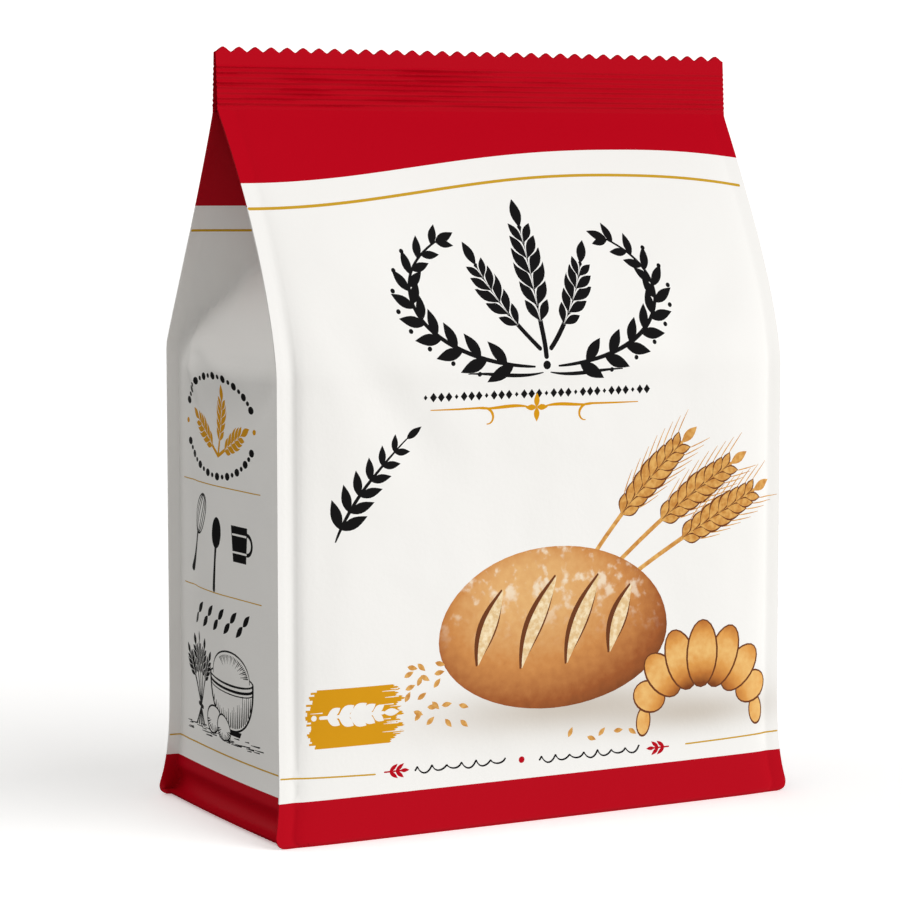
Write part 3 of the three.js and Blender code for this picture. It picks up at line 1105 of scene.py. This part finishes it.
# %% The tuck of the side panels
LIP_INSET, GROOVE_DEPTH, GROOVE_HEIGHT = 1.4, 2.3, 6.5
LEAST_FLAT, MOST_FLAT = 0.15, 0.92
side_reach = half_depth - EDGE
panel_reach = side_reach.at_least(size["Half Depth"] - EDGE)
tuck_rise = z.climb(size["Tuck Start"], size["Tuck Height"])
crease = side_reach * (1.0 - tuck_rise).at_least(LEAST_FLAT).at_most(MOST_FLAT)
flap = panel_reach - crease
tuck_depth = (flap * flap - (side_reach - crease) ** 2.0).at_least(0.0).root()
groove = GROOVE_DEPTH * (math.pi * z.climb(LIP, GROOVE_HEIGHT) ** 0.6).sine()
over_lip = z.above(LIP + 0.5 * LIP_STEP)
inset = over_lip.blend(LIP_INSET, size["Strip"] + groove)

# %% Where a point of a side panel goes
SOFTNESS = 0.6
along = abs(n)
turn = n.sign()
from_middle = along - SIDE_MIDDLE
to_back = from_middle.sign()
width_now = abs(from_middle) * (panel_reach + inset) / HALF_SIDE_FILM


def soft_past(width, limit, softness):
    """How far a width is past a limit, with a soft start."""
    past = width - limit
    return 0.5 * (past + (past * past + softness * softness).root())


on_strip = soft_past(width_now, panel_reach, SOFTNESS)
on_flap = soft_past(width_now, crease, SOFTNESS + 2.2 * tuck_rise.ramp(0.0, 0.35)) - on_strip
up_flap = (on_flap / flap).limited()
across_side = (width_now / panel_reach).limited()
narrowing = half_depth / size["Half Depth"]
side_dome = size["Side Bulge"] * fill * narrowing * (1.0 - across_side * across_side)
side_x = (half_width - inset + on_strip).at_most(half_width) + side_dome - tuck_depth * (1.0 - up_flap)
side_y = middle + to_back * (width_now - on_strip - on_flap + (side_reach - crease) * up_flap)

# %% Where a point of the front or the back goes
to_centre = along.at_most(HALF_NET - along)
across = (to_centre / strip_start).limited()
dome = size["Front Bulge"] * fill * (0.30 * (1.0 - across ** 2.4) + 0.70 * (1.0 - across ** 13.0))
panel_x = to_centre * half_width / size["Half Width"]
is_back = along.above(0.5 * HALF_NET)
panel_y = is_back.blend(front - dome, back + dome)
HAIR = 0.01
is_side = along.above(HALF_WIDTH + HAIR) * (1.0 - along.above(BACK_START - HAIR))
edge_share = 1.0 - along.climb(HALF_WIDTH, EDGE) + along.climb(SIDE_END, EDGE)
edge_y = edge_share.blend(side_y, panel_y)
print("Folding rule written with", g.count, "nodes so far")

# %% [markdown]
# ## Dents and ripples
# A printed film over flour shows broad shallow dents, a few soft folds under the shoulder and
# a tiny waviness all over. Each fold is a long narrow hill or dent, given by its place, its two
# reaches, its angle and its depth; the waviness is noise. Both fade out at the welded strips,
# at the foot and at the seal, where the film is stiff.

# %% Dents, given as place, reach along, reach across, angle and depth
front_dents = [
    (-2.0, 117.5, 58.0, 7.0, 0.0, 0.8),
    (-44.0, 108.0, 26.0, 7.0, -52.0, -0.80),
    (-30.0, 128.0, 24.0, 6.0, -28.0, 0.45),
    (47.0, 126.0, 17.0, 6.0, 30.0, -0.90),
    (30.0, 118.0, 20.0, 5.0, 18.0, 0.40),
    (-63.0, 74.0, 38.0, 5.0, 90.0, -0.70),
    (62.0, 80.0, 36.0, 5.0, 86.0, -0.35),
    (10.0, 78.0, 50.0, 12.0, 8.0, -0.35),
]
side_dents = [
    (2.0, 113.0, 32.0, 7.0, -4.0, 1.3),
    (13.0, 117.5, 15.0, 2.2, 15.0, 0.9),
    (21.0, 114.0, 9.0, 2.2, 56.0, 0.9),
    (22.0, 62.0, 42.0, 3.0, 90.0, -0.5),
    (-25.0, 110.0, 9.0, 2.4, -50.0, -0.7),
    (6.0, 60.0, 26.0, 9.0, 70.0, 0.5),
    (20.0, 34.0, 16.0, 4.0, 80.0, -0.45),
    (16.0, 136.0, 16.0, 3.0, 55.0, 0.8),
]


def dent_field(across_place, dents):
    total = 0.0
    for at_n, at_z, long, wide, angle, depth in dents:
        c, s = math.cos(math.radians(angle)), math.sin(math.radians(angle))
        dn, dz = across_place - at_n, z - at_z
        total = total + depth * ((dn * c + dz * s) / long).hill() * ((dz * c - dn * s) / wide).hill()
    return total


net_place = g.point(n, z)
broad_waves = cloud(g, net_place, size=34.0, detail=1.0, seed=2.0) - 0.5
small_waves = cloud(g, net_place, size=9.0, detail=1.0, seed=4.0) - 0.5
waves = broad_waves + 0.30 * small_waves
free_panel = (1.0 - across).ramp(0.0, 0.22)
free_side = (1.0 - across_side).ramp(0.0, 0.25)
free_height = z.ramp(6.0, 24.0) * (1.0 - z.ramp(150.0, 172.0))
free = free_height * size["Wrinkles"]
from_seam = HALF_NET - along
on_panel = is_back.blend(n, from_seam)
panel_push = (dent_field(on_panel, front_dents) + waves) * free_panel * free
side_push = (dent_field(from_middle, side_dents) + waves) * free_side * free

# %% The crease beside each strip, and the lap seam on the back
CREASE, CREASE_AT_HEAD, CREASE_REACH = 0.30, 0.12, 0.9
LAP = 0.3
crease_depth = rise.ramp(0.0, 0.3).blend(CREASE, CREASE_AT_HEAD)
weld_crease = ((to_centre - (strip_start - CREASE_REACH)) / CREASE_REACH).hill() * z.above(0.5)
panel_push = panel_push - crease_depth * weld_crease
on_lap = (1.0 - from_seam.ramp(LAP_END, LAP_START)) * z.ramp(2.0, 14.0)
panel_push = panel_push * from_seam.ramp(LAP_START, 12.0) + LAP * on_lap

# %% Put it together and move the points
outward = is_back.blend(-1.0, 1.0)
final_x = is_side.blend(panel_x, side_x + side_push) * turn
final_y = is_side.blend(panel_y + outward * panel_push, edge_y) + MIDDLE_SHIFT
moved = g.moved(flat_net, final_x, final_y, z)
ink_field = g.add("GeometryNodeInputNamedAttribute", {"data_type": "INT"}, {"Name": "ink"})
for number, material in enumerate(INKS):
    is_ink = 1.0 - abs(ink_field - float(number)).above(0.5)
    sockets = {"Geometry": moved, "Selection": is_ink, "Material": material}
    moved = g.add("GeometryNodeSetMaterial", None, sockets)
g.add("NodeGroupOutput", None, {0: moved})
print("Folding tree:", g.count, "nodes")

# %% Fold the film and close it
film_mesh = shaped_by(film, g.tree, fold_sizes)
red_slot = film_mesh.materials.find("red_film")
work = bmesh.new()
work.from_mesh(film_mesh)
bmesh.ops.remove_doubles(work, verts=work.verts, dist=2e-6)
print("Open edges before closing:", sum(e.is_boundary for e in work.edges))
for level in (0.0, FILM_TOP * MM):
    ring = [e for e in work.edges if e.is_boundary and all(abs(v.co.z - level) < 1e-5 for v in e.verts)]
    cap = bmesh.ops.contextual_create(work, geom=ring, mat_nr=red_slot)["faces"]
    made = bmesh.ops.triangulate(work, faces=cap, ngon_method="EAR_CLIP")["faces"]
    for face in made:
        if (face.normal.z > 0) != (level > 0):
            face.normal_flip()
print("Open edges left:", sum(e.is_boundary for e in work.edges))
work.to_mesh(film_mesh)
work.free()
film_mesh.shade_smooth()
film_mesh.set_sharp_from_angle(angle=math.radians(38))
print("Film:", len(film_mesh.polygons), "triangles, materials", [m.name for m in film_mesh.materials])

# %% [markdown]
# ## The crimped top seal
# At the top both panels and the tucks are welded flat between heated jaws, which press eight fine
# ribs into the film, and a zigzag knife cuts it off. Ribs and teeth repeat, so Geometry Nodes make
# them: a thin grid box is tapered, its rows are pushed out and in by a sine, and its top edge
# follows the teeth. At both ends a slot between the layers stays open, as the real edge shows.

# %% The seal tree and its inputs
TEETH = 34
seal_sizes = {
    "Width": 147.2,
    "Base Height": 176.5,
    "Valley Height": 191.0,
    "Tooth Depth": 1.4,
    "Teeth": float(TEETH),
    "Base Thickness": 3.0,
    "Tip Thickness": 1.1,
    "Rib Pitch": 1.2625,
    "Rib Depth": 0.3,
    "Slot Depth": 5.0,
}
s, _, seal = new_tree("crimp_seal", seal_sizes)
box_size = s.point(seal["Width"], 1.0, 1.0)
box_counts = {"Size": box_size, "Vertices X": TEETH * 6 + 1, "Vertices Y": 4, "Vertices Z": 76}
box = s.add("GeometryNodeMeshCube", None, box_counts)
x, y, z = s.split(s.add("GeometryNodeInputPosition"))

# %% Teeth and taper
RIBS_START, RIBS = 177.8, 8.0
TAPER_START, TAPER_HEIGHT = 177.0, 15.4
SEAL_FORWARDS = 2.2
half_seal = 0.5 * seal["Width"]
turns = (x / seal["Width"] + 0.5) * seal["Teeth"]
round_tooth = 0.5 - 0.5 * s.math("COSINE", turns * 2 * math.pi)
flat_tooth = 1.0 - abs(s.math("FRACT", turns) * 2.0 - 1.0)
tooth = 0.5 * (round_tooth + flat_tooth)
level = z + 0.5
height = seal["Base Height"] + level * (seal["Valley Height"] - seal["Base Height"])
height = height + seal["Tooth Depth"] * tooth * level.ramp(0.93, 1.0)
up_share = height.climb(TAPER_START, TAPER_HEIGHT)
thickness = up_share.blend(seal["Base Thickness"], seal["Tip Thickness"])

# %% Ribs, unevenness and end slots
patches = cloud(s, s.point(x, height * 22.0), size=28.0, detail=1.0, seed=1.0)
uneven = patches.ramp(0.25, 0.75) * (1.0 - 0.6 * x.ramp(-20.0, 50.0))
rib_turn = ((height - RIBS_START) / seal["Rib Pitch"]).at_least(0.0).at_most(RIBS)
rib = seal["Rib Depth"] * (0.25 + 0.9 * uneven) * (rib_turn * 2 * math.pi).sine()
waver = 0.5 * (cloud(s, s.point(x, height), size=45.0, detail=1.0, seed=5.0) - 0.5) * up_share
inner = 1.0 - abs(y).above(0.4)
layer = y * (1.0 - inner * 0.1)
at_end = (abs(x) - half_seal).above(-0.05) * inner
new_x = x * (1.0 - at_end * seal["Slot Depth"] * (1.0 - 0.6 * up_share) / half_seal)
new_y = thickness * layer + rib + waver - SEAL_FORWARDS + MIDDLE_SHIFT
crimped = s.moved(box, new_x, new_y, height)
crimped = s.add("GeometryNodeSetMaterial", None, {"Geometry": crimped, "Material": red_film})
s.add("NodeGroupOutput", None, {0: crimped})

# %% Make the seal
crimped_seal = new_object("crimped_seal", bpy.data.meshes.new("crimped_seal"))
seal_mesh = shaped_by(crimped_seal, s.tree, seal_sizes)
seal_mesh.shade_smooth()
seal_mesh.set_sharp_from_angle(angle=math.radians(50))
print("Seal:", len(seal_mesh.polygons), "faces")

# %% [markdown]
# ## Place in the frame
# Both pieces ride on the one body and stand for the CAD solid, which is hidden.

# %% Frame calls
for piece in (film, crimped_seal):
    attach(piece, "root")
    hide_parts("flour_bag")

# %% [markdown]
# ## Floor, light and camera
# The bag stands on a plain pale floor in a bright, soft studio. The floor glows a little, so that
# it stays white round the shadow, and sends no light back to the bag. A wide, soft sun stands for
# the large window at the front right, which lights the front and the head. The left side gets only
# the light of the room, so it stays grey. The room is a smooth rule over directions: brighter in
# front, high on the left and high at the back, so that creases in the side panel show, and darker
# at the front left. Reflections see it dimmed, which keeps the film satin, and the camera sees
# a white backdrop in its place.

# %% Floor
HALF_FLOOR = 6.0
floor_mesh = bpy.data.meshes.new("studio_floor")
signs = ((-1, -1), (1, -1), (1, 1), (-1, 1))
floor_mesh.from_pydata([(a * HALF_FLOOR, b * HALF_FLOOR, 0.0) for a, b in signs], [], [(0, 1, 2, 3)])
floor = new_object("studio_floor", floor_mesh)
floor_material = bpy.data.materials.new("pale_floor")
floor_material.use_nodes = True
floor_sockets = floor_material.node_tree.nodes["Principled BSDF"].inputs
floor_sockets["Base Color"].default_value = (1.0, 1.0, 1.0, 1.0)
floor_sockets["Emission Color"].default_value = (1.0, 1.0, 1.0, 1.0)
floor_sockets["Emission Strength"].default_value = 0.30
floor_sockets["Roughness"].default_value = 0.7
floor_mesh.materials.append(floor_material)
floor.visible_diffuse = False
floor.visible_glossy = False
floor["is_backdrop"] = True

# %% The window
WINDOW_STRENGTH = 2.10
WINDOW_SPREAD = 60
WINDOW_DIRECTION = Vector((-0.50, 0.67, -0.55))
sky = bpy.data.lights.new("high_window", "SUN")
sky.energy = WINDOW_STRENGTH
sky.angle = math.radians(WINDOW_SPREAD)
window = new_object("high_window", sky)
window.rotation_mode = "QUATERNION"
window.rotation_quaternion = WINDOW_DIRECTION.to_track_quat("-Z", "Y")
window.visible_glossy = False

# %% The light of the room
ROOM_STRENGTH = 0.50
BACKDROP_STRENGTH = 1.2
MIRRORED_SHARE = 0.15
ROOM_COLOUR = (1.0, 0.985, 0.96, 1.0)
world = bpy.data.worlds.new("studio")
bpy.context.scene.world = world
world.use_nodes = True
world.node_tree.nodes.clear()
w = Nodes(world.node_tree)
seen = w.add("ShaderNodeLightPath", output="Is Camera Ray")
mirrored = seen.also("Is Glossy Ray")
to_right, to_back, upwards = w.split(w.add("ShaderNodeTexCoord", output="Generated"))
room = ROOM_STRENGTH - 0.06 * to_right - 0.18 * to_back - 0.55 * (to_right * to_back)
room = room - 0.95 * (to_right * upwards) + 0.85 * (to_back * upwards)
room = room.at_least(0.02) * (1.0 - (1.0 - MIRRORED_SHARE) * mirrored)
strength = seen.blend(room, BACKDROP_STRENGTH)
room_light = w.add("ShaderNodeBackground", None, {"Color": ROOM_COLOUR, "Strength": strength})
w.add("ShaderNodeOutputWorld", None, {"Surface": room_light})

# %% Camera
azimuth, elevation = math.radians(-28.24), math.radians(5.48)
DISTANCE = 0.7648
TARGET_HEIGHT = 0.08977
TARGET_TO_RIGHT = -0.00613
LENS_IN_PIXELS = 2952.0
PHOTO_WIDTH = 903.0
SENSOR_WIDTH = 36.0
right = Vector((math.cos(azimuth), math.sin(azimuth), 0.0))
level_back = Vector((math.sin(azimuth), -math.cos(azimuth), 0.0))
backwards = level_back * math.cos(elevation) + Vector((0.0, 0.0, math.sin(elevation)))
target = right * TARGET_TO_RIGHT + Vector((0.0, MIDDLE_SHIFT * MM, TARGET_HEIGHT))
camera_data = bpy.data.cameras.new("camera")
camera_data.sensor_width = SENSOR_WIDTH
camera_data.lens = LENS_IN_PIXELS / PHOTO_WIDTH * SENSOR_WIDTH
camera = new_object("camera", camera_data)
camera.location = target + backwards * DISTANCE
camera.rotation_mode = "QUATERNION"
camera.rotation_quaternion = (-backwards).to_track_quat("-Z", "Y")
bpy.context.scene.camera = camera
bpy.context.scene.view_settings.view_transform = "Standard"

# %% [markdown]
# ## Sizes at the end
# The dressed bag is meant to fill the CAD box. Its own box is printed in millimetres.

# %% Print the box of the bag
low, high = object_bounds()
print("Visual box in mm:", [round(v * 1000, 1) for v in (*low, *high)])
